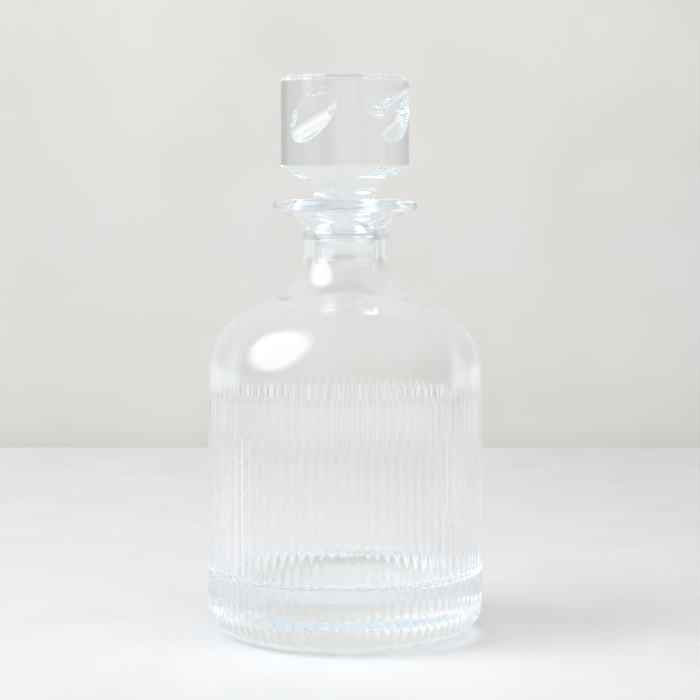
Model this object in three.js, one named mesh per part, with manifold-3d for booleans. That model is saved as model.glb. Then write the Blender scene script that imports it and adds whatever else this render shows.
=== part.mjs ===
// A clear glass decanter: a ribbed vessel with a flared lip, a solid stopper and the seal ring on its plug.
// Millimetres, +Z up, origin under the middle of the base, the front of the decanter towards -Y.
import * as THREE from 'three';
import { mergeVertices } from 'three/addons/utils/BufferGeometryUtils.js';
import Module from 'manifold-3d';

const wasm = await Module();
wasm.setup();

// Barrel and base of the vessel.
const barrelRadius = 56.5; // outside, where the wall is smooth
const barrelWall = 5;
const footRounding = 13.5; // radius of the rounded edge under the barrel
const floorThickness = 25.5;
const floorFillet = 5; // inside, where the floor meets the wall

// Fine upright ribs, which start on the rounded foot and run out to points below the shoulder.
const ribCount = 88;
const ribCrest = 0.5; // above the smooth wall
const ribGroove = 0.4; // below it, between two ribs
const ribFootHeight = 5;
const ribTopHeight = 103;
const ribRunOut = 4; // length over which a rib fades into the wall at its top
const ribFootRunOut = 3; // the same at its foot, as height

// Shoulder and neck: an arc inwards, a straight slope, and a sweep up into the neck.
const shoulderHeight = 110; // where the barrel starts to turn in
const shoulderRadius = 27.7;
const shoulderSlope = THREE.MathUtils.degToRad(25);
const neckSweep = 21.4;
const neckRadius = 17.7; // outside, at its narrowest
const neckLength = 8.7; // straight stretch below the lip
const neckWall = 3.5;
const shoulderInsideRadius = 25.5;
const boreSweep = 23;

// Flared lip: a thick round rim, with the mouth curving down from it into the bore.
const lipSweep = 7.4;
const lipSlope = THREE.MathUtils.degToRad(16); // of the underside, towards the rim
const rimRadius = 29.7;
const rimThickness = 5.6;
const mouthSlope = THREE.MathUtils.degToRad(20); // of the top, towards the rim
const mouthRounding = 10;

// Stopper and its seal ring.
const fitClearance = 0.3; // between pieces that touch
const sealDepth = 4.4; // underside of the seal, below the start of the lip
const sealHeight = 5.3;
const sealGrip = 1.6; // radial thickness of the seal
const sealEdge = 0.5;
const sealGrooveDepth = 0.6;
const plugTail = 10.5; // plug below the seal
const plugNeck = 14; // plug above the seal, up to the collar
const plugEdge = 1.4;
const collarHeight = 6.4;
const collarFlare = 3; // how far the collar widens towards the head
const headBaseHeight = 5; // underside of the head, flat in the middle and bevelled towards the edge
const headBevelRadius = 20.8; // where the underside turns up
const headHeight = 36.8;
const headRadius = 26.5;
const headEdge = 0.9;

// Slanted oval thumb cuts round the head.
const cutCount = 4;
const cutFirstAzimuth = THREE.MathUtils.degToRad(-31); // from the front, towards +X
const cutSlant = THREE.MathUtils.degToRad(26); // of the long axis, above level
const cutRadius = 15;
const cutDepth = 2.5;
const cutLength = 60; // the cutter, longer than the cut
const cutRise = 20.3; // middle of a cut, above the head's lower edge

// Fineness of the facets.
const smoothColumns = 44;
const ribColumns = 2 * ribCount;
const turnedColumns = 48;
const arcSteps = 6;
const edgeSteps = 3; // on small roundings

// Heights and radii that follow from the sizes above.
const barrelInside = barrelRadius - barrelWall;
const boreRadius = neckRadius - neckWall;
const outerShoulder = shoulderCurve(barrelRadius, shoulderRadius, neckSweep, neckRadius);
const innerShoulder = shoulderCurve(barrelInside, shoulderInsideRadius, boreSweep, boreRadius);
const lipStart = outerShoulder.at(-1).y + neckLength;
const sealBottom = lipStart - sealDepth;
const sealOuter = boreRadius - fitClearance;
const sealInner = sealOuter - sealGrip;
const grooveRadius = sealInner - fitClearance;
const plugRadius = grooveRadius + sealGrooveDepth;
const collarBottom = sealBottom + sealHeight + plugNeck;
const headBottom = collarBottom + collarHeight + headBaseHeight;

// Points (radius, height) on an arc about a centre; angles run from the outward radius, upwards.
function arcPoints(centreRadius, centreHeight, radius, from, to, steps = arcSteps) {
  const points = [];
  for (let step = 0; step <= steps; step += 1) {
    const angle = from + ((to - from) * step) / steps;
    const across = centreRadius + radius * Math.cos(angle);
    points.push(new THREE.Vector2(across, centreHeight + radius * Math.sin(angle)));
  }
  return points;
}

// Shoulder line from the barrel's radius up into the neck, with the slope between its two arcs.
function shoulderCurve(fromRadius, turnRadius, sweepRadius, toRadius) {
  const turn = Math.PI / 2 - shoulderSlope;
  const shoulder = arcPoints(fromRadius - turnRadius, shoulderHeight, turnRadius, 0, turn);
  const slopeStart = shoulder.at(-1);
  const slopeEndRadius = toRadius + sweepRadius * (1 - Math.cos(turn));
  const slopeRise = (slopeStart.x - slopeEndRadius) * Math.tan(shoulderSlope);
  const sweepHeight = slopeStart.y + slopeRise + sweepRadius * Math.sin(turn);
  const sweepCentre = toRadius + sweepRadius;
  return [...shoulder, ...arcPoints(sweepCentre, sweepHeight, sweepRadius, Math.PI + turn, Math.PI)];
}

// Lip from the neck out to the rim, round the rim and back down the mouth to the bore.
function lipCurve() {
  const quarter = Math.PI / 2;
  const underside = arcPoints(neckRadius + lipSweep, lipStart, lipSweep, Math.PI, quarter + lipSlope);
  const slopeStart = underside.at(-1);
  const rimRounding = rimThickness / 2;
  const rimCentre = rimRadius - rimRounding;
  const rimUnder = slopeStart.y + (rimCentre - slopeStart.x) * Math.tan(lipSlope);
  const rimHeight = rimUnder + rimRounding / Math.cos(lipSlope);
  const rim = arcPoints(rimCentre, rimHeight, rimRounding, lipSlope - quarter, mouthSlope + quarter);
  const mouthCentre = boreRadius + mouthRounding;
  const mouthEdge = mouthCentre - mouthRounding * Math.sin(mouthSlope);
  const mouthFall = (rim.at(-1).x - mouthEdge) * Math.tan(mouthSlope);
  const mouthHeight = rim.at(-1).y - mouthFall - mouthRounding * Math.cos(mouthSlope);
  const mouth = arcPoints(mouthCentre, mouthHeight, mouthRounding, mouthSlope + quarter, Math.PI);
  return [...underside, ...rim, ...mouth];
}

// One ring of points round the axis.
function plainRing(point, columns) {
  const ring = [];
  for (let column = 0; column < columns; column += 1) {
    const angle = (2 * Math.PI * column) / columns;
    ring.push(new THREE.Vector3(point.x * Math.cos(angle), point.x * Math.sin(angle), point.y));
  }
  return ring;
}

// A ring across the ribs: crests stand proud of the wall and grooves sink into it, along the wall's normal.
function ribRing(point, lean, share) {
  const normal = new THREE.Vector2(Math.cos(lean), Math.sin(lean));
  const crests = plainRing(point.clone().addScaledVector(normal, ribCrest * share), ribColumns);
  const grooves = plainRing(point.clone().addScaledVector(normal, -ribGroove * share), ribColumns);
  return crests.map((place, column) => (column % 2 === 0 ? place : grooves[column]));
}

// The ribbed stretch of the outside, from the foot rounding to the points of the ribs.
function ribRings() {
  const centre = barrelRadius - footRounding;
  const leanAt = (height) => Math.asin(Math.min(1, height / footRounding) - 1);
  const first = leanAt(ribFootHeight);
  const full = leanAt(ribFootHeight + ribFootRunOut);
  const footArc = (from) => arcPoints(centre, footRounding, footRounding, from, 0, edgeSteps);
  const rings = [ribRing(footArc(first)[0], first, 0)];
  for (const [step, point] of footArc(full).entries()) {
    rings.push(ribRing(point, full * (1 - step / edgeSteps), 1));
  }
  rings.push(ribRing(new THREE.Vector2(barrelRadius, ribTopHeight - ribRunOut), 0, 1));
  rings.push(ribRing(new THREE.Vector2(barrelRadius, ribTopHeight), 0, 0));
  return rings;
}

// A closed skin over rings that follow each other from axis to axis; their counts of points may differ.
function skin(rings) {
  const positions = rings.flat().flatMap((place) => place.toArray());
  const triangles = [];
  let start = 0;
  for (let index = 0; index + 1 < rings.length; index += 1) {
    const lower = rings[index].length;
    const upper = rings[index + 1].length;
    const columns = Math.max(lower, upper);
    const onLower = (column) => start + (Math.round((column * lower) / columns) % lower);
    const onUpper = (column) => start + lower + (Math.round((column * upper) / columns) % upper);
    for (let column = 0; column < columns; column += 1) {
      const corners = [onLower(column), onLower(column + 1), onUpper(column + 1), onUpper(column)];
      if (corners[0] !== corners[1]) triangles.push(corners[0], corners[1], corners[3]);
      if (corners[2] !== corners[3]) triangles.push(corners[1], corners[2], corners[3]);
    }
    start += lower;
  }
  const geometry = new THREE.BufferGeometry();
  geometry.setAttribute('position', new THREE.Float32BufferAttribute(positions, 3));
  geometry.setIndex(triangles);
  geometry.computeVertexNormals();
  return geometry;
}

function vesselGeometry() {
  const filletCentre = barrelInside - floorFillet;
  const fillet = arcPoints(filletCentre, floorThickness + floorFillet, floorFillet, 0, -Math.PI / 2);
  const footCircle = new THREE.Vector2(barrelRadius - footRounding, 0);
  const above = [...outerShoulder, ...lipCurve(), ...innerShoulder.toReversed(), ...fillet];
  return skin([
    plainRing(new THREE.Vector2(0, 0), 1),
    plainRing(footCircle, smoothColumns),
    ...ribRings(),
    ...above.map((point) => plainRing(point, smoothColumns)),
    plainRing(new THREE.Vector2(0, floorThickness), 1),
  ]);
}

// A turned piece about +Z from a profile of (radius, height).
function turned(profile) {
  const geometry = new THREE.LatheGeometry(profile, turnedColumns);
  geometry.rotateX(Math.PI / 2);
  return geometry;
}

function sealGeometry() {
  const top = sealBottom + sealHeight;
  const outline = [
    [sealInner, sealBottom],
    [sealOuter - sealEdge, sealBottom],
    [sealOuter, sealBottom + sealEdge],
    [sealOuter, top - sealEdge],
    [sealOuter - sealEdge, top],
    [sealInner, top],
    [sealInner, sealBottom],
  ];
  return turned(outline.map(([radius, height]) => new THREE.Vector2(radius, height)));
}

function stopperProfile() {
  const plugBottom = sealBottom - plugTail;
  const grooveBottom = sealBottom - fitClearance;
  const grooveTop = sealBottom + sealHeight + fitClearance;
  const collarTop = collarBottom + collarHeight;
  const headTop = headBottom + headHeight;
  const outline = new THREE.Path();
  outline.moveTo(0, plugBottom);
  outline.lineTo(plugRadius - plugEdge, plugBottom);
  outline.absarc(plugRadius - plugEdge, plugBottom + plugEdge, plugEdge, -Math.PI / 2, 0);
  outline.lineTo(plugRadius, grooveBottom);
  outline.lineTo(grooveRadius, grooveBottom);
  outline.lineTo(grooveRadius, grooveTop);
  outline.lineTo(plugRadius, grooveTop);
  outline.lineTo(plugRadius, collarBottom);
  outline.lineTo(plugRadius + collarFlare, collarTop);
  outline.quadraticCurveTo(headBevelRadius, collarTop, headRadius, headBottom);
  outline.lineTo(headRadius, headTop - headEdge);
  outline.absarc(headRadius - headEdge, headTop - headEdge, headEdge, 0, Math.PI / 2);
  outline.lineTo(0, headTop);
  return outline.getPoints(edgeSteps);
}

// A geometry as a solid that can be cut: corners merged, and triangles with no area left out.
function solid(geometry) {
  const bare = geometry.clone();
  bare.deleteAttribute('normal');
  bare.deleteAttribute('uv');
  const merged = mergeVertices(bare);
  const corners = merged.index.array;
  const triangles = [];
  for (let index = 0; index < corners.length; index += 3) {
    const [a, b, c] = corners.slice(index, index + 3);
    if (a !== b && b !== c && c !== a) triangles.push(a, b, c);
  }
  const vertProperties = new Float32Array(merged.attributes.position.array);
  const triVerts = new Uint32Array(triangles);
  return new wasm.Manifold(new wasm.Mesh({ numProp: 3, vertProperties, triVerts }));
}

function geometryOf(piece) {
  const { vertProperties, triVerts } = piece.getMesh();
  const geometry = new THREE.BufferGeometry();
  geometry.setAttribute('position', new THREE.BufferAttribute(vertProperties, 3));
  geometry.setIndex(new THREE.BufferAttribute(triVerts, 1));
  geometry.computeVertexNormals();
  return geometry;
}

// The round cutter of one thumb cut, its axis slanted across the head.
function thumbCutter(azimuth) {
  const cutter = new THREE.CylinderGeometry(cutRadius, cutRadius, cutLength, turnedColumns);
  cutter.rotateZ(cutSlant - Math.PI / 2);
  cutter.rotateX(Math.PI / 2);
  cutter.translate(0, cutDepth - headRadius - cutRadius, headBottom + cutRise);
  cutter.rotateZ(azimuth);
  return cutter;
}

function stopperGeometry() {
  let stopper = solid(turned(stopperProfile()));
  for (let cut = 0; cut < cutCount; cut += 1) {
    stopper = stopper.subtract(solid(thumbCutter(cutFirstAzimuth + (2 * Math.PI * cut) / cutCount)));
  }
  return geometryOf(stopper);
}

function clearGlass() {
  return new THREE.MeshStandardMaterial({
    color: 0xe3e9e8,
    roughness: 0.02,
    metalness: 0,
    transparent: true,
    opacity: 0.35,
  });
}

function clearSilicone() {
  return new THREE.MeshStandardMaterial({
    color: 0xd9dfde,
    roughness: 0.3,
    metalness: 0,
    transparent: true,
    opacity: 0.6,
  });
}

function piece(name, geometry, material) {
  const mesh = new THREE.Mesh(geometry, material);
  mesh.name = name;
  return mesh;
}

const decanter = new THREE.Group();
decanter.add(
  piece('vessel', vesselGeometry(), clearGlass()),
  piece('stopper_seal', sealGeometry(), clearSilicone()),
  piece('stopper', stopperGeometry(), clearGlass()),
);

export default decanter;
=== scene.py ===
import math

import bmesh
import bpy
from mathutils import Matrix, Vector


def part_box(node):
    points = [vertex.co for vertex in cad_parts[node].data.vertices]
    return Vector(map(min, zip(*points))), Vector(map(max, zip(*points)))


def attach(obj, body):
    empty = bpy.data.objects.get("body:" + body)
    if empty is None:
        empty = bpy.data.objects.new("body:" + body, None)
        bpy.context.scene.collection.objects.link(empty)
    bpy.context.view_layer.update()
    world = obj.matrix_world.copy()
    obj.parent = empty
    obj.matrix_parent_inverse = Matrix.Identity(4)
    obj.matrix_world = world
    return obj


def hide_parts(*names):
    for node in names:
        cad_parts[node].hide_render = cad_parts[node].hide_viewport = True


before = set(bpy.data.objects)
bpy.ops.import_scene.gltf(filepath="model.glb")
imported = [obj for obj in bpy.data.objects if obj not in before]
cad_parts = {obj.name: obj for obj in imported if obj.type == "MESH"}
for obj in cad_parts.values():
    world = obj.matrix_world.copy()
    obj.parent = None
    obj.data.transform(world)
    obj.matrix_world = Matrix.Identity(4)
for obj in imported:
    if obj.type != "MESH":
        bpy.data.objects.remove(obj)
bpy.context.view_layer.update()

mm = 0.001  # the sizes below are in millimetres, Blender's are metres


# Small helpers

def hexColour(code):
    channels = [int(code[place:place + 2], 16) / 255 for place in (1, 3, 5)]
    linear = [c / 12.92 if c <= 0.04045 else ((c + 0.055) / 1.055) ** 2.4 for c in channels]
    return (*linear, 1.0)


def addNode(tree, kind, settings=None, links=None):
    node = tree.nodes.new(kind)
    for name, value in (settings or {}).items():
        if hasattr(node, name):
            setattr(node, name, value)
        else:
            node.inputs[name].default_value = value
    for name, socket in (links or {}).items():
        tree.links.new(socket, node.inputs[name])
    return node


def paintRamp(ramp, tones):
    while len(ramp.elements) < len(tones):
        ramp.elements.new(0.5)
    for element, (position, code) in zip(ramp.elements, tones):
        element.position, element.color = position, hexColour(code)


def newMaterial(name):
    material = bpy.data.materials.new(name)
    material.use_nodes = True
    material.node_tree.nodes.clear()
    return material, material.node_tree


def arcRun(across, up, radius, start, end, steps):
    angles = [math.radians(start + (end - start) * step / steps) for step in range(steps + 1)]
    return [(across + radius * math.cos(a), up + radius * math.sin(a)) for a in angles]


def turnProfile(profile, columns, sectors=8):
    mesh = bmesh.new()
    verts = [mesh.verts.new((r * mm, 0, z * mm)) for r, z in profile]
    edges = [mesh.edges.new(pair) for pair in zip(verts, verts[1:])]
    turn = 2 * math.pi / sectors
    bmesh.ops.spin(mesh, geom=verts + edges, cent=(0, 0, 0), axis=(0, 0, 1), dvec=(0, 0, 0),
                   angle=turn, steps=columns // sectors, use_merge=False, use_duplicate=False)
    sector = mesh.verts[:] + mesh.edges[:] + mesh.faces[:]
    for number in range(1, sectors):  # one sector is spun, and its copies are turned round the axis
        copy = bmesh.ops.duplicate(mesh, geom=sector)["geom"]
        bmesh.ops.rotate(mesh, verts=[item for item in copy if isinstance(item, bmesh.types.BMVert)],
                         cent=(0, 0, 0), matrix=Matrix.Rotation(number * turn, 3, "Z"))
    bmesh.ops.remove_doubles(mesh, verts=mesh.verts, dist=0.002 * mm)  # joins the sectors and the poles
    bmesh.ops.recalc_face_normals(mesh, faces=mesh.faces)
    mesh.verts.index_update()
    ordered = sorted(mesh.faces, key=lambda face: sorted(vert.index for vert in face.verts))
    for number, face in enumerate(ordered):
        face.index = number
    mesh.faces.sort()  # merging leaves the faces in another order each run
    return mesh


def finishPiece(name, mesh, material, body, node):
    for face in mesh.faces:
        face.smooth = True
    data = bpy.data.meshes.new(name)
    mesh.to_mesh(data)
    mesh.free()
    data.materials.append(material)
    piece = bpy.data.objects.new(name, data)
    bpy.context.scene.collection.objects.link(piece)
    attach(piece, body)
    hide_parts(node)
    print(name, len(data.polygons), "faces")


# Vessel: ribbed barrel, rounded shoulder, swept neck and flared lip

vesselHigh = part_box("vessel")[1]
vesselSize = {
    "ribCrest": 0.5,  # above the smooth wall
    "ribGroove": 0.4,  # below it
    "ribCount": 88,
    "ribColumns": 8,  # mesh columns on one rib
    "ribFoot": 5.0,  # heights where a rib rises out of the foot
    "ribFootFull": 8.0,
    "ribFull": 99.0,  # heights where a rib sinks into the wall at its top
    "ribTop": 103.0,
    "footRounding": 13.5,
    "floor": 25.5,
    "floorFillet": 5.0,
    "wall": 5.0,
    "shoulderHeight": 110.0,
    "shoulderRadius": 27.7,
    "shoulderSlope": 25.0,
    "neckSweep": 21.4,
    "neckRadius": 17.7,
    "neckLength": 8.7,
    "neckLean": 2.6,  # inwards, towards the lip
    "neckWall": 3.5,
    "insideShoulder": 25.5,
    "boreSweep": 23.0,
    "lipSweep": 7.4,
    "lipSlope": 16.0,
    "rimRadius": 29.7,
    "rimThickness": 5.6,
    "mouthSlope": 20.0,  # of the top, towards the rim
    "mouthRounding": 10.0,
    "footSteps": 12,  # mesh rows along each curve
    "sinkSteps": 6,
    "shoulderSteps": 16,
    "insideSteps": 14,
    "lipSteps": 12,
    "rimSteps": 10,
    "filletSteps": 10,
    "slack": 0.01,  # for telling the wall's sides apart
    "waveLength": 14.0,  # of the glass
    "waveHeight": 0.012,
}


def shoulderRun(fromRadius, turnRadius, sweep, toRadius, lean, size, steps):
    turn = 90 - size["shoulderSlope"]
    rise = math.tan(math.radians(size["shoulderSlope"]))
    shoulder = arcRun(fromRadius - turnRadius, size["shoulderHeight"], turnRadius, 0, turn, steps)
    slopeEnd = toRadius + sweep * (1 - math.cos(math.radians(turn)))
    sweepHeight = (shoulder[-1][1] + (shoulder[-1][0] - slopeEnd) * rise
                   + sweep * math.sin(math.radians(turn)))
    return shoulder + arcRun(toRadius + sweep, sweepHeight, sweep, 180 + turn, 180 + lean, steps)


def lipRun(lipStart, size):
    under, over = math.radians(size["lipSlope"]), math.radians(size["mouthSlope"])
    sweep = arcRun(size["neckRadius"] + size["lipSweep"], lipStart, size["lipSweep"],
                   180, 90 + size["lipSlope"], size["lipSteps"])
    half = size["rimThickness"] / 2
    rimCentre = size["rimRadius"] - half
    rimHeight = sweep[-1][1] + (rimCentre - sweep[-1][0]) * math.tan(under) + half / math.cos(under)
    rim = arcRun(rimCentre, rimHeight, half, size["lipSlope"] - 90, size["mouthSlope"] + 90,
                 size["rimSteps"])
    mouth = size["mouthRounding"]
    mouthCentre = size["neckRadius"] - size["neckWall"] + mouth
    topFall = (rim[-1][0] - mouthCentre + mouth * math.sin(over)) * math.tan(over)
    mouthHeight = rim[-1][1] - topFall - mouth * math.cos(over)
    opening = arcRun(mouthCentre, mouthHeight, mouth, size["mouthSlope"] + 90, 180, size["lipSteps"])
    return sweep + rim + opening


def vesselProfile(size, barrelRadius):
    footCentre = barrelRadius - size["footRounding"]
    inside = barrelRadius - size["wall"]
    bore = size["neckRadius"] - size["neckWall"]
    filletCentre = inside - size["floorFillet"]
    foot = arcRun(footCentre, size["footRounding"], size["footRounding"], -90, 0, size["footSteps"])
    sinkLength = size["ribTop"] - size["ribFull"]
    sinking = [(barrelRadius, size["ribFull"] + sinkLength * part / size["sinkSteps"])
               for part in range(size["sinkSteps"] + 1)]
    neckFoot = size["neckRadius"] + size["neckLength"] * math.tan(math.radians(size["neckLean"]))
    outer = shoulderRun(barrelRadius, size["shoulderRadius"], size["neckSweep"], neckFoot, size["neckLean"],
                        size, size["shoulderSteps"])
    inner = shoulderRun(inside, size["insideShoulder"], size["boreSweep"], bore, 0,
                        size, size["insideSteps"])
    lip = lipRun(outer[-1][1] + size["neckLength"], size)
    fillet = arcRun(filletCentre, size["floor"] + size["floorFillet"], size["floorFillet"],
                    0, -90, size["filletSteps"])
    return [(0, 0)] + foot + sinking + outer + lip + inner[::-1] + fillet + [(0, size["floor"])]


def easeStep(value, low, high):
    part = min(max((value - low) / (high - low), 0), 1)
    return part * part * (3 - 2 * part)


def ribShape(along, relief, halfPitch):
    arc = (halfPitch ** 2 + relief ** 2) / (2 * relief)  # radius of the round groove between two crests
    return arc - math.sqrt(arc ** 2 - ((1 - abs(along)) * halfPitch) ** 2)


def raiseRibs(mesh, size, barrelRadius):
    pitch = 2 * math.pi / size["ribCount"]
    relief = size["ribCrest"] + size["ribGroove"]
    slack = size["slack"]
    for vert in mesh.verts:
        across = math.hypot(vert.co.x, vert.co.y) / mm
        height = vert.co.z / mm
        outside = across > barrelRadius - size["footRounding"] + slack and height < size["ribTop"]
        inside = across < barrelRadius - size["wall"] + slack and height > size["floor"] - slack
        if not outside or inside:
            continue
        share = easeStep(height, size["ribFoot"], size["ribFootFull"])
        share *= 1 - easeStep(height, size["ribFull"], size["ribTop"])
        turn = math.atan2(vert.co.y, vert.co.x) / pitch
        even = turn % 1 * 2 - 1  # -1 and 1 in the grooves, 0 on a crest
        along = math.sin(even * math.pi / 2)  # the columns crowd towards the grooves
        vert.co = Matrix.Rotation((along - even) * pitch / 2, 3, "Z") @ vert.co
        lean = math.asin(min(max(1 - height / size["footRounding"], 0), 1))  # the foot's wall leans outwards
        push = (ribShape(along, relief, pitch * barrelRadius / 2) - size["ribGroove"]) * share * mm
        radial = Vector((vert.co.x, vert.co.y, 0)).normalized()
        vert.co += radial * push * math.cos(lean) - Vector((0, 0, push * math.sin(lean)))


# Clear moulded and fire-polished glass: colourless in the wall, faintly blue where the light path is long,
# with a slow waviness from the mould that bends what is seen through it.
def clearGlass(name, size):
    material, tree = newMaterial(name)
    place = addNode(tree, "ShaderNodeTexCoord")
    wave = addNode(tree, "ShaderNodeTexNoise", {"Scale": 1 / (size["waveLength"] * mm), "Detail": 1.0},
                   {"Vector": place.outputs["Object"]})
    bump = addNode(tree, "ShaderNodeBump", {"Strength": 1.0, "Distance": size["waveHeight"] * mm},
                   {"Height": wave.outputs["Fac"]})
    glass = addNode(tree, "ShaderNodeBsdfPrincipled", {
        "Base Color": hexColour("#ffffff"), "Roughness": 0.0, "IOR": 1.52, "Transmission Weight": 1.0,
    }, {"Normal": bump.outputs["Normal"]})
    tint = addNode(tree, "ShaderNodeVolumeAbsorption", {"Color": hexColour("#b4e4f8"), "Density": 0.52})
    addNode(tree, "ShaderNodeOutputMaterial", {}, {
        "Surface": glass.outputs["BSDF"], "Volume": tint.outputs["Volume"]})
    return material


barrelRadius = vesselHigh.x / mm - vesselSize["ribCrest"]
vesselMesh = turnProfile(vesselProfile(vesselSize, barrelRadius),
                         vesselSize["ribCount"] * vesselSize["ribColumns"])
raiseRibs(vesselMesh, vesselSize, barrelRadius)
vesselGlass = clearGlass("mouldedClearGlass", vesselSize)
finishPiece("ribbed_vessel", vesselMesh, vesselGlass, "vessel", "vessel")


# Stopper: solid head with slanted thumb cuts, tapering collar and plug

stopperLow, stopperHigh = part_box("stopper")
sealLow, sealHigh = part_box("stopper_seal")
stopperSize = {
    "columns": 480,
    "plugRadius": 12.6,
    "plugEdge": 1.4,
    "grooveDepth": 0.6,
    "grooveGap": 0.3,
    "collarBottom": 14.0,  # above the seal
    "collarHeight": 6.4,
    "collarFlare": 3.0,
    "headBase": 5.0,
    "headBevel": 20.8,  # radius where the underside turns up
    "headEdge": 0.9,
    "headRows": 100,
    "cutCount": 4,
    "cutAzimuth": -31.0,  # of the first cut, from the front towards +X
    "cutSlant": 26.0,
    "cutRadius": 15.0,
    "cutDepth": 2.5,
    "cutRise": 20.3,
    "cutEdge": 0.25,  # rounding of the polished edge round a cut
    "cutBelow": 0.5,  # points this far below the head's side are left alone
    "edgeSteps": 8,  # mesh rows along each curve
    "domeSteps": 14,
    "waveLength": 18.0,  # of the glass
    "waveHeight": 0.006,
}


def stopperProfile(size, headRadius, low, high, sealFrom, sealTo):
    plug = size["plugRadius"]
    groove = plug - size["grooveDepth"]
    grooveFrom, grooveTo = sealFrom - size["grooveGap"], sealTo + size["grooveGap"]
    collar = sealTo + size["collarBottom"]
    collarTop = collar + size["collarHeight"]
    headFrom = collarTop + size["headBase"]
    edge, plugEdge = size["headEdge"], size["plugEdge"]
    start = Vector((plug + size["collarFlare"], collarTop))
    bend, end = Vector((size["headBevel"], collarTop)), Vector((headRadius, headFrom))
    parts = [step / size["domeSteps"] for step in range(size["domeSteps"] + 1)]
    dome = [tuple(start * (1 - t) ** 2 + bend * 2 * t * (1 - t) + end * t * t) for t in parts]
    headRise = high - edge - headFrom
    rows = [headFrom + headRise * row / size["headRows"] for row in range(1, size["headRows"])]
    plugEnd = arcRun(plug - plugEdge, low + plugEdge, plugEdge, -90, 0, size["edgeSteps"])
    headEnd = arcRun(headRadius - edge, high - edge, edge, 0, 90, size["edgeSteps"])
    ringGroove = [(plug, grooveFrom), (groove, grooveFrom), (groove, grooveTo), (plug, grooveTo)]
    return ([(0, low)] + plugEnd + ringGroove + [(plug, collar)] + dome
            + [(headRadius, row) for row in rows] + headEnd + [(0, high)])


def cutThumbs(mesh, size, headRadius, headFrom, headTo):
    slant = math.radians(size["cutSlant"])
    middle = headFrom + size["cutRise"]
    axisOut = headRadius - size["cutDepth"] + size["cutRadius"]  # from the stopper's axis to the cutter's
    for vert in mesh.verts:
        across = math.hypot(vert.co.x, vert.co.y) / mm
        height = vert.co.z / mm
        if across < headRadius - size["cutBelow"] or not headFrom < height < headTo:
            continue
        azimuth = math.degrees(math.atan2(vert.co.x, -vert.co.y)) - size["cutAzimuth"]
        spacing = 360 / size["cutCount"]
        offset = math.radians((azimuth + spacing / 2) % spacing - spacing / 2)
        # the wall's new radius where a line outwards from the axis meets the cutter's round side
        side = math.sin(offset) * math.sin(slant)
        lift = (height - middle) * math.cos(slant)
        a = side * side + math.cos(offset) ** 2
        b = -2 * (side * lift + math.cos(offset) * axisOut)
        c = lift * lift + axisOut * axisOut - size["cutRadius"] ** 2
        inner = b * b - 4 * a * c
        if inner <= 0:
            continue
        cutAt = (-b - math.sqrt(inner)) / (2 * a)
        soft = size["cutEdge"]
        blend = min(max(0.5 + (across - cutAt) / (2 * soft), 0), 1)
        radius = across + (cutAt - across) * blend - soft * blend * (1 - blend)
        vert.co.x *= radius / across
        vert.co.y *= radius / across


headRadius = stopperHigh.x / mm
sealFrom, sealTo = sealLow.z / mm, sealHigh.z / mm
stopperMesh = turnProfile(
    stopperProfile(stopperSize, headRadius, stopperLow.z / mm, stopperHigh.z / mm, sealFrom, sealTo),
    stopperSize["columns"])
headFrom = sealTo + stopperSize["collarBottom"] + stopperSize["collarHeight"] + stopperSize["headBase"]
cutThumbs(stopperMesh, stopperSize, headRadius, headFrom, stopperHigh.z / mm - stopperSize["headEdge"])
stopperGlass = clearGlass("cutClearGlass", stopperSize)
finishPiece("cut_stopper", stopperMesh, stopperGlass, "stopper", "stopper")


# Seal: a soft clear ring in the plug's groove

sealSize = {
    "columns": 240,
    "grip": 1.9,
    "rounding": 0.6,
    "press": 0.02,  # against the bore, with no air between
    "cornerSteps": 5,  # mesh rows along each corner
    "grain": 0.8,  # of the satin skin
    "grainHeight": 0.01,
}


def sealProfile(size, low, high, outer):
    inner = outer - size["grip"]
    r = size["rounding"]
    corners = [(outer - r, low + r, -90), (outer - r, high - r, 0),
               (inner + r, high - r, 90), (inner + r, low + r, 180)]
    run = [point for across, up, start in corners
           for point in arcRun(across, up, r, start, start + 90, size["cornerSteps"])]
    return run + run[:1]


# Clear moulded silicone: a little milky, with a satin skin that spreads its highlights.
def clearSilicone(size):
    material, tree = newMaterial("clearSilicone")
    place = addNode(tree, "ShaderNodeTexCoord")
    grain = addNode(tree, "ShaderNodeTexNoise", {"Scale": 1 / (size["grain"] * mm), "Detail": 2.0},
                    {"Vector": place.outputs["Object"]})
    bump = addNode(tree, "ShaderNodeBump", {"Strength": 0.3, "Distance": size["grainHeight"] * mm},
                   {"Height": grain.outputs["Fac"]})
    shader = addNode(tree, "ShaderNodeBsdfPrincipled", {
        "Base Color": hexColour("#f4f7f7"), "Roughness": 0.12, "IOR": 1.41, "Transmission Weight": 1.0,
    }, {"Normal": bump.outputs["Normal"]})
    addNode(tree, "ShaderNodeOutputMaterial", {}, {"Surface": shader.outputs["BSDF"]})
    return material


sealOuter = vesselSize["neckRadius"] - vesselSize["neckWall"] + sealSize["press"]
sealMesh = turnProfile(sealProfile(sealSize, sealFrom, sealTo, sealOuter), sealSize["columns"])
finishPiece("seal_ring", sealMesh, clearSilicone(sealSize), "seal", "stopper_seal")


# Stage: a pale table top that ends behind the decanter, and a pale plastered room as the world beyond it

stageSize = {
    "behind": 0.70,  # reach of the table top from the decanter's axis
    "before": 2.6,
    "left": 0.9,
    "right": 1.6,
    "below": 0.0003,  # a hair under the foot
    "shadeFront": -0.15,  # where the table's painted shade from front to back starts
    "shadeRight": 0.6,  # where its painted shade from left to right ends
    "poolInner": 0.032,  # radii of the painted pool of light below the foot
    "poolOuter": 0.05,
    "mottle": 45 * mm,  # size of the clouds in the stone
}
# settings of the nodes that mix or multiply two colours, which are their inputs 6 and 7
colourMix = {"data_type": "RGBA"}
colourProduct = {"data_type": "RGBA", "blend_type": "MULTIPLY", "Factor": 1.0}
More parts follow.
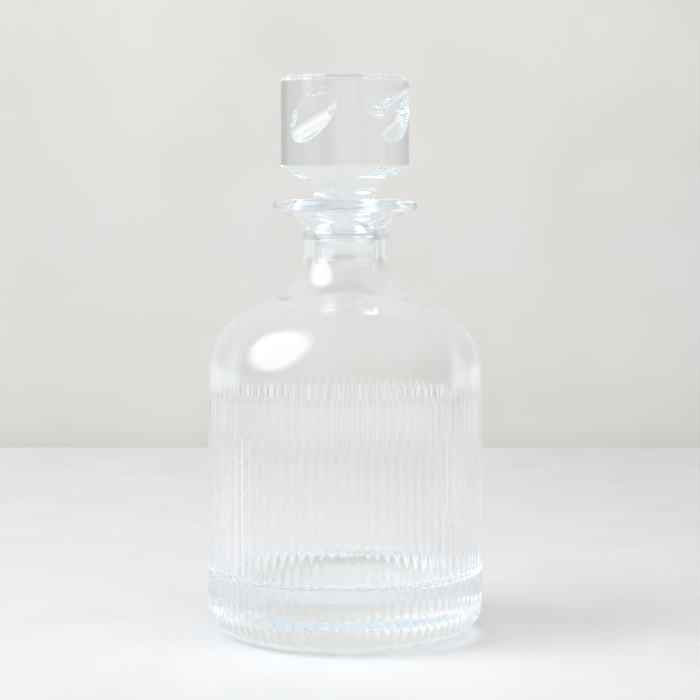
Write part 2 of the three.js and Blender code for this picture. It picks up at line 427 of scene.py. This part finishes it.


# Pale honed stone: nearly white, with slow cloudy mottling, and painted shade that makes it greyer towards
# the wall, where less light falls.
def paleTable(size):
    material, tree = newMaterial("paleHonedStone")
    place = addNode(tree, "ShaderNodeTexCoord")
    axes = addNode(tree, "ShaderNodeSeparateXYZ", {}, {0: place.outputs["Object"]})
    depth = addNode(tree, "ShaderNodeMapRange", {"From Min": size["shadeFront"], "From Max": size["behind"]},
                    {"Value": axes.outputs["Y"]})
    # painted shade: the table greyer towards the wall, where less light falls
    shade = addNode(tree, "ShaderNodeValToRGB", {}, {"Fac": depth.outputs["Result"]})
    paintRamp(shade.color_ramp, ((0.0, "#d9d9d9"), (0.12, "#dedede"), (0.33, "#dcdcdc"), (0.47, "#d9d9d9"),
                                 (0.65, "#d5d5d5"), (0.82, "#d2d2d2"), (1.0, "#d0d0cf")))
    cloud = addNode(tree, "ShaderNodeTexNoise", {"Scale": 1 / size["mottle"], "Detail": 6.0},
                    {"Vector": place.outputs["Object"]})
    mottle = addNode(tree, "ShaderNodeValToRGB", {}, {"Fac": cloud.outputs["Fac"]})
    paintRamp(mottle.color_ramp, ((0.3, "#f9f9f9"), (0.7, "#ffffff")))
    # the stone's mottling times its painted shade
    stone = addNode(tree, "ShaderNodeMix", colourProduct,
                    {6: shade.outputs["Color"], 7: mottle.outputs["Color"]})
    side = addNode(tree, "ShaderNodeMapRange", {"From Min": -size["left"], "From Max": size["shadeRight"]},
                   {"Value": axes.outputs["X"]})
    paintedSideShade = addNode(tree, "ShaderNodeValToRGB", {}, {"Fac": side.outputs["Result"]})
    # painted shade: greyer below the window, and a painted shadow just right of the decanter
    paintRamp(paintedSideShade.color_ramp, ((0.0, "#ececec"), (0.23, "#fafafa"), (0.47, "#ffffff"), (0.63, "#ffffff"),
                                (0.73, "#f6f6f6"), (0.79, "#f6f6f6"), (0.9, "#ffffff")))
    shadedStone = addNode(tree, "ShaderNodeMix", colourProduct, {6: stone.outputs[2], 7: paintedSideShade.outputs["Color"]})
    reach = addNode(tree, "ShaderNodeVectorMath", {"operation": "LENGTH"}, {0: place.outputs["Object"]})
    under = addNode(tree, "ShaderNodeMapRange",
                    {"From Min": size["poolInner"], "From Max": size["poolOuter"]},
                    {"Value": reach.outputs["Value"]})
    pool = addNode(tree, "ShaderNodeMix", colourMix,
                   {"Factor": under.outputs["Result"], 7: shadedStone.outputs[2]})
    pool.inputs[6].default_value = hexColour("#f0f0f0")  # a painted pool of light below the foot, where the glass gathers light
    shader = addNode(tree, "ShaderNodeBsdfPrincipled", {"Roughness": 0.7, "Specular IOR Level": 0.1},
                     {"Base Color": pool.outputs[2]})
    addNode(tree, "ShaderNodeOutputMaterial", {}, {"Surface": shader.outputs["BSDF"]})
    return material


tableMesh = bmesh.new()
bmesh.ops.create_grid(tableMesh, x_segments=1, y_segments=1, size=1)
for vert in tableMesh.verts:
    vert.co.x = stageSize["right"] if vert.co.x > 0 else -stageSize["left"]
    vert.co.y = stageSize["behind"] if vert.co.y > 0 else -stageSize["before"]
    vert.co.z = -stageSize["below"]
tableData = bpy.data.meshes.new("table_top")
tableMesh.to_mesh(tableData)
tableMesh.free()
tableData.materials.append(paleTable(stageSize))
table = bpy.data.objects.new("table_top", tableData)
bpy.context.scene.collection.objects.link(table)


# The room round the table; its heights are the rise of a line of sight from the decanter

roomSize = {
    "wallFoot": -0.111,  # the wall behind, from the table's edge up
    "wallHead": 0.089,
    "benchTop": -0.05,  # pale benches at both sides with painted bluish daylight on them, and the walls above them with painted shade
    "wallStart": 0.0,
    "ceilingStart": 0.15,
    "ceilingFull": 0.6,
    "cloudScale": 16.0,  # of the faint clouds in the plaster
    "ambient": 1.77,  # strength of the light that the room throws on the table
}


# Pale plaster with painted light and shade: lighter towards the window on the left and higher up, darker at
# its foot and on the right.
def paleRoom(size):
    world = bpy.data.worlds.new("paleRoom")
    bpy.context.scene.world = world
    world.use_nodes = True
    tree = world.node_tree
    tree.nodes.clear()
    place = addNode(tree, "ShaderNodeTexCoord")
    axes = addNode(tree, "ShaderNodeSeparateXYZ", {}, {0: place.outputs["Generated"]})
    height = addNode(tree, "ShaderNodeMapRange",
                     {"From Min": size["wallFoot"], "From Max": size["wallHead"]},
                     {"Value": axes.outputs["Z"]})
    # painted shade at the wall's foot, fading to painted light higher up
    paintedHeightShade = addNode(tree, "ShaderNodeValToRGB", {}, {"Fac": height.outputs["Result"]})
    paintRamp(paintedHeightShade.color_ramp, ((0.0, "#eae9e6"), (0.06, "#f4f3f0"), (0.2, "#f8f7f4"), (0.48, "#fbfaf8"),
                                   (1.0, "#fffefa")))
    across = addNode(tree, "ShaderNodeMapRange", {"From Min": -1.0, "From Max": 1.0},
                     {"Value": axes.outputs["X"]})
    # the wall behind, with painted shade growing towards the right
    middle = ((0.415, "#e5e5e5"), (0.45, "#e7e7e7"), (0.536, "#e4e4e4"), (0.556, "#e2e2e2"),
              (0.585, "#dcdcdc"))
    # painted daylight: the benches bluish-white, greyer at the far sides
    bench = addNode(tree, "ShaderNodeValToRGB", {}, {"Fac": across.outputs["Result"]})
    paintRamp(bench.color_ramp, ((0.0, "#ececec"), (0.1, "#f7fbff"), (0.385, "#f7fbff"), *middle,
                                 (0.615, "#f7fbff"), (0.8, "#f7fbff"), (1.0, "#c8c8c8")))
    # painted shade: the walls above the benches darker towards the far sides
    higher = addNode(tree, "ShaderNodeValToRGB", {}, {"Fac": across.outputs["Result"]})
    paintRamp(higher.color_ramp, ((0.0, "#bababa"), (0.12, "#dfdfdf"), (0.3, "#e7e7e7"), *middle,
                                  (0.7, "#e1e1e1"), (0.88, "#d7d7d7"), (1.0, "#a3a3a3")))
    level = addNode(tree, "ShaderNodeMapRange",
                    {"From Min": size["benchTop"], "From Max": size["wallStart"]},
                    {"Value": axes.outputs["Z"]})
    sideways = addNode(tree, "ShaderNodeMix", colourMix, {
        "Factor": level.outputs["Result"], 6: bench.outputs["Color"], 7: higher.outputs["Color"]})
    back = addNode(tree, "ShaderNodeMapRange", {"From Min": -1.0, "From Max": 1.0},
                   {"Value": axes.outputs["Y"]})
    along = addNode(tree, "ShaderNodeValToRGB", {}, {"Fac": back.outputs["Result"]})
    paintRamp(along.color_ramp, ((0.0, "#eef3f8"), (0.5, "#f6f9fc"), (0.8, "#ffffff")))
    sides = addNode(tree, "ShaderNodeMix", colourProduct,
                    {6: sideways.outputs[2], 7: along.outputs["Color"]})
    colour = addNode(tree, "ShaderNodeMix", colourProduct,
                     {6: paintedHeightShade.outputs["Color"], 7: sides.outputs[2]})
    cloud = addNode(tree, "ShaderNodeTexNoise", {"Scale": size["cloudScale"], "Detail": 5.0},
                    {"Vector": place.outputs["Generated"]})
    trowel = addNode(tree, "ShaderNodeValToRGB", {}, {"Fac": cloud.outputs["Fac"]})
    paintRamp(trowel.color_ramp, ((0.35, "#fafaf9"), (0.65, "#ffffff")))
    # the plaster's mottling times its painted light and shade
    plaster = addNode(tree, "ShaderNodeMix", colourProduct,
                      {6: colour.outputs[2], 7: trowel.outputs["Color"]})
    above = addNode(tree, "ShaderNodeMapRange",
                    {"From Min": size["ceilingStart"], "From Max": size["ceilingFull"]},
                    {"Value": axes.outputs["Z"]})
    room = addNode(tree, "ShaderNodeMix", colourMix,
                   {"Factor": above.outputs["Result"], 6: plaster.outputs[2]})
    room.inputs[7].default_value = hexColour("#e4e7e9")  # the pale ceiling
    path = addNode(tree, "ShaderNodeLightPath")
    mirrored = addNode(tree, "ShaderNodeMath", {"operation": "ADD"}, {
        0: path.outputs["Is Camera Ray"], 1: path.outputs["Is Glossy Ray"]})
    shown = addNode(tree, "ShaderNodeMath", {"operation": "ADD", "use_clamp": True}, {
        0: mirrored.outputs[0], 1: path.outputs["Is Transmission Ray"]})
    ambient = addNode(tree, "ShaderNodeValToRGB", {}, {"Fac": back.outputs["Result"]})
    paintRamp(ambient.color_ramp, ((0.0, "#ffffff"), (1.0, "#404040")))  # most comes from behind the camera
    light = addNode(tree, "ShaderNodeBackground", {"Strength": size["ambient"]},
                    {"Color": ambient.outputs["Color"]})
    wall = addNode(tree, "ShaderNodeBackground", {"Strength": 1.0}, {"Color": room.outputs[2]})
    mix = addNode(tree, "ShaderNodeMixShader", {}, {
        0: shown.outputs[0], 1: light.outputs[0], 2: wall.outputs[0]})
    addNode(tree, "ShaderNodeOutputWorld", {}, {"Surface": mix.outputs[0]})


paleRoom(roomSize)


# One tall window on the left, a little towards the camera: its panes, and the paler glow just behind them

windowSize = {
    "azimuth": -71.0,
    "distance": 2.7,
    "width": 2.9,
    "low": 0.46,
    "high": 4.8,
    "power": 52.0,
}
glowSize = {
    "azimuth": -71.0,
    "distance": 2.8,
    "width": 3.8,
    "low": 0.28,
    "high": 6.5,
    "power": 80.0,
}


def hangLamp(name, size):
    data = bpy.data.lights.new(name, "AREA")
    data.shape = "ELLIPSE"
    data.size, data.size_y = size["width"], size["high"] - size["low"]
    data.energy = size["power"]
    data.color = hexColour("#f6faff")[:3]  # daylight
    lamp = bpy.data.objects.new(name, data)
    side = math.radians(size["azimuth"])
    lamp.location = (size["distance"] * math.sin(side), -size["distance"] * math.cos(side),
                     (size["low"] + size["high"]) / 2)
    lamp.rotation_euler = (math.radians(90), 0, side)
    lamp.visible_camera = False
    bpy.context.scene.collection.objects.link(lamp)


hangLamp("window", windowSize)
hangLamp("windowGlow", glowSize)
print("table, room and window placed")


# Camera, fitted to the ellipses of the foot, lip and stopper

cameraSize = {
    "distance": 0.9,
    "height": 0.178,
    "right": 0.0021,
    "pitch": 3.79,  # degrees down
    "lens": 111.78,
    "sensor": 36.0,
    "clipEnd": 50,
}
cameraData = bpy.data.cameras.new("camera")
cameraData.sensor_width, cameraData.lens = cameraSize["sensor"], cameraSize["lens"]
cameraData.clip_end = cameraSize["clipEnd"]
camera = bpy.data.objects.new("camera", cameraData)
camera.location = (cameraSize["right"], -cameraSize["distance"], cameraSize["height"])
camera.rotation_euler = (math.radians(90 - cameraSize["pitch"]), 0, 0)
bpy.context.scene.collection.objects.link(camera)
bpy.context.scene.camera = camera
print("camera placed")

bpy.context.scene.view_settings.view_transform = "Standard"
cycles = bpy.context.scene.cycles
cycles.max_bounces = 200  # light is mirrored many times in glass
cycles.glossy_bounces = cycles.transmission_bounces = cycles.max_bounces
cycles.blur_glossy = 0  # light that comes through the glass reaches the table in full
